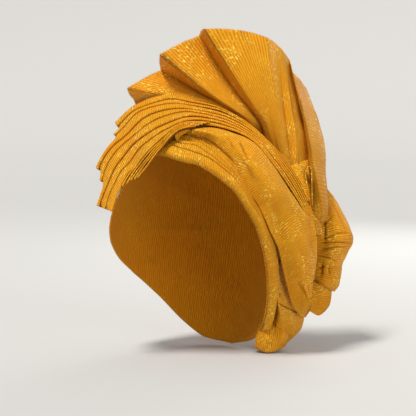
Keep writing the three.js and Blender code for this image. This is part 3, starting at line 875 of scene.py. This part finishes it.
def make_wrap():
    """The smooth swath over the side: from the band over its crest to under the pleats."""
    u, v = spans(280, 120)
    short = 1.1 * ease(v, 0.40, 1.0) ** 1.5 + 0.25 * (1 - ease(v, 0, 0.3))
    rows = along(WRAP_ROWS, u * (len(WRAP_ROWS) - 0.5) - 0.5 - short * u ** 5)
    edge, lift, crest, at, inner_high, outer_high = (
        rows[..., 0], rows[..., 1], rows[..., 2:5], rows[..., 5], rows[..., 6], rows[..., 7])
    over = ease(edge, -14, 4)
    front = over_rim(edge, band_width(edge) + 2 - 6.5 * over,
                     CAP_TOP + CLOTH_WALL + lift + 4.2 * over)
    p = through([front, place(crest), pleat_point(at, 2 * INNER_SHARE, inner_high),
                 pleat_point(at, INNER_SHARE, outer_high)], v * 3)
    calm = np.sin(math.pi * np.clip(v, 0, 1)) ** 0.5
    swell = 2.0 * calm * ease(u, 0.25, 0.5) * (1 - ease(v, 0.45, 0.7))
    tucked = 3.0 * (1 - ease(u, 0, 0.14))
    p = raised(p, swell - tucked - 6.0 * ease(u, 0.93, 1.0) ** 2)
    p = raised(p, ripple(p, 55, 21) * 1.6 * calm)
    p = raised(p, ripple(p, 17, 23) * 0.45 * calm)
    p = creased(p, u, v, WRAP_CREASES)
    return woven("side_wrap_cloth", p, WRAP_SHEET, shade=crease_shade(p, 4, 1.6))


def make_under():
    """The swath below the side wrap, round to the nape."""
    u, v = spans(120, 90)
    at = -0.6 + u * 3.8
    edge = along([r[0] for r in UNDER_ROWS], at)
    points = [over_rim(edge, band_width(edge) - 6.5, CAP_TOP + CLOTH_WALL + 4.6 + 0 * u)]
    points += [place(along([r[n] for r in UNDER_ROWS], at)) for n in (1, 2, 3)]
    p = through(points, v * 3)
    calm = np.sin(math.pi * v) ** 0.5
    p = raised(p, ripple(p, 30, 31) * 0.9 * calm)
    p = creased(p, u, v, UNDER_CREASES)
    return woven("under_wrap_cloth", p, WRAP_SHEET, shade=crease_shade(p, 3, 0.35))


def make_gather():
    """The gathered lobe at the nape, drawn together at its top."""
    u, v = spans(90, 60)
    p = through_rows(LOBE_ROWS, u, v)
    pull = 1 - ease(v, 0.0, 0.7)
    gathers = np.sin(u * 19 + 2.5 * v) + 0.5 * np.sin(u * 37)
    p = raised(p, gathers * 0.45 * (0.1 + pull))
    p = raised(p, ripple(p, 9, 35) * 0.35)
    return woven("nape_gather_cloth", p, LOOSE_SHEET, shade=crease_shade(p, 3, 0.35))


def make_tab():
    """The flat tab that hangs below the ruffle."""
    u, v = spans(40, 40)
    return woven("ruffle_tab_cloth", through_rows(TAB_ROWS, u, v), LOOSE_SHEET)


def make_ruffle():
    """The loose ruffle behind the knot, rooted on the head, with its lower end rolled in."""
    u, v = spans(150, 150)
    sections = []
    for row in RUFFLE_ROWS:
        points = [place(q) for q in row[:-1]]
        points.append(over_head(np.array(row[-1], float), np.array(1.0), np.array(0.0)))
        sections.append(along(np.array(points), v * (len(points) - 1)))
    p = through(sections, u * (len(sections) - 1))
    p = raised(p, ripple(p, 34, 51) * 1.3 + ripple(p, 12, 52) * 0.45)
    p = raised(p, -(4.0 * ease(u, 0.90, 1.0) ** 2))
    p = creased(p, u, v, RUFFLE_CREASES)
    return woven("ruffle_cloth", p, LOOSE_SHEET, shade=crease_shade(p, 4, 1.0))


def make_tuck():
    """The small tucked piece at the knot, with its free top edge folded back."""
    u, v = spans(60, 60)
    p = through_rows(TUCK_ROWS, u, v)
    p = raised(p, ripple(p, 12, 71) * 0.35)
    top = p[0] - (p[1] - p[0])
    behind = place((0, -0.012, 0))
    lip = [top + behind * 0.3, top + behind, p[0] + behind * 2, p[3] + behind * 3,
           p[9] + behind * 3]
    p = np.concatenate([np.stack(lip[::-1]), p])
    return woven("knot_tuck", p, TUCK_SHEET)


def make_loop():
    """The narrow loop before the knot: a band with painted shade on its inside."""
    u, v = spans(24, 120)
    front = along(LOOP_ROW, v * (len(LOOP_ROW) - 1))
    p = place(front + np.array([0.0, -0.10, 0.0]) * u[..., None])
    return woven("knot_loop", p, LOOSE_SHEET, shade=1.1 - 1.1 * ease(u, 0.02, 0.35))


cap = finish_piece(make_cap(), LINING, "crown_cap")
for n in range(4):
    fold = finish_piece(make_rim_pleat(n), GOLDEN, f"rim_pleat_{n + 1}")
for n in range(7):
    fold = finish_piece(make_front_pleat(n), GOLDEN, f"front_pleat_{n + 1}")
for n in range(5):
    fold = finish_piece(make_temple_fold(n), GOLDEN)
fan, fan_points = make_fan()
finish_piece(fan, GOLDEN, "crown_fan")
fan_edge, fan_inner = fan_points[:, -1], fan_points[:, -4]
fan_fray = finish_piece(make_fray("fan_fray", fan_edge, fan_edge - fan_inner, 0.55, 1.3, 5), GOLDEN)
tuck = finish_piece(make_tuck(), GOLDEN)
loop = finish_piece(make_loop(), GOLDEN)
wrap = finish_piece(make_wrap(), GOLDEN, "side_wrap")
under = finish_piece(make_under(), GOLDEN, "under_wrap")
gather = finish_piece(make_gather(), GOLDEN, "nape_gather")
ruffle = finish_piece(make_ruffle(), GOLDEN, "back_ruffle")
tab = finish_piece(make_tab(), GOLDEN, "ruffle_tab")


# ---------------------------------------------------------------- camera, light, floor


def aim(obj, target):
    obj.rotation_euler = (Vector(target) - obj.location).to_track_quat("-Z", "Y").to_euler()


def softbox(name, spot, size, power):
    lamp = bpy.data.lights.new(name, "AREA")
    lamp.shape = "RECTANGLE"
    lamp.size, lamp.size_y = size
    lamp.energy = power
    lamp_object = bpy.data.objects.new(name, lamp)
    bpy.context.scene.collection.objects.link(lamp_object)
    lamp_object.location = spot
    aim(lamp_object, TARGET)


# The photo's view: what it looks at, from where round it, how far off, and half its width.
TARGET = Vector((0.00405, -0.00638, -0.08567))
VIEW_TURN, VIEW_TILT = math.radians(40), math.radians(5)
VIEW_DISTANCE = 1.5
HALF_VIEW = 0.208
SENSOR_WIDTH = 36

flat = math.cos(VIEW_TILT)
back = Vector((math.sin(VIEW_TURN) * flat, -math.cos(VIEW_TURN) * flat, math.sin(VIEW_TILT)))
side = Vector((math.cos(VIEW_TURN), math.sin(VIEW_TURN), 0))
up = side.cross(-back)
camera_data = bpy.data.cameras.new("camera")
camera_data.sensor_width = SENSOR_WIDTH
camera_data.lens = SENSOR_WIDTH / 2 * VIEW_DISTANCE / HALF_VIEW
camera = bpy.data.objects.new("camera", camera_data)
bpy.context.scene.collection.objects.link(camera)
camera.location = TARGET + back * VIEW_DISTANCE
aim(camera, TARGET)
bpy.context.scene.camera = camera

sun = bpy.data.lights.new("key", "SUN")
sun.energy = 3.05
sun.angle = math.radians(14)
sun.color = (1, 0.98, 0.95)
sun_object = bpy.data.objects.new("key", sun)
bpy.context.scene.collection.objects.link(sun_object)
sun_object.location = TARGET + back * 0.5 - side * 0.35 + up * 1.1
aim(sun_object, TARGET)
softbox("fill", TARGET + back * 1.2 + side * 0.9 + up * 0.1, (0.9, 0.9), 7)
softbox("rear", TARGET - back * 1.0 + side * 0.5 + up * 0.6, (0.6, 0.6), 4)

bpy.context.scene.view_settings.view_transform = "Standard"
world = bpy.data.worlds.new("room")
bpy.context.scene.world = world
world.use_nodes = True
room = world.node_tree.nodes["Background"]
room.inputs["Color"].default_value = (0.90, 0.90, 0.90, 1)
room.inputs["Strength"].default_value = 0.46

# The floor is a disc just under the part, curved up at its rim into a wall in short steps.
FLOOR_RADIUS = 4
FLOOR_BELOW = 0.0005
CURVE_STEPS = 12
STEP_ANGLE = math.radians(7.5)
STEP_LENGTH = 0.4
STEP_GROWTH = 0.3

bpy.ops.object.select_all(action="DESELECT")
bpy.ops.mesh.primitive_circle_add(vertices=96, radius=FLOOR_RADIUS, fill_type="NGON",
                                  location=(0, 0, cad_box[0][2] - FLOOR_BELOW))
floor = bpy.context.object
floor.name = "pale_floor"
bpy.ops.object.mode_set(mode="EDIT")
bpy.ops.mesh.select_mode(type="EDGE")
bpy.ops.mesh.select_all(action="SELECT")
for step in range(1, CURVE_STEPS + 1):
    climb = STEP_LENGTH * math.sin(STEP_ANGLE * step)
    bpy.ops.mesh.extrude_edges_move(TRANSFORM_OT_translate={"value": (0, 0, climb)})
    grow = 1 + STEP_LENGTH * math.cos(STEP_ANGLE * step) / (FLOOR_RADIUS + step * STEP_GROWTH)
    bpy.ops.transform.resize(value=(grow, grow, 1), center_override=(0, 0, 0))
bpy.ops.object.mode_set(mode="OBJECT")
bpy.ops.object.shade_smooth()
floor_material = bpy.data.materials.new("pale_floor_paint")
floor_material.use_nodes = True
paint = floor_material.node_tree.nodes["Principled BSDF"]
paint.inputs["Base Color"].default_value = (0.54, 0.535, 0.52, 1)
paint.inputs["Roughness"].default_value = 0.9
floor.data.materials.append(floor_material)
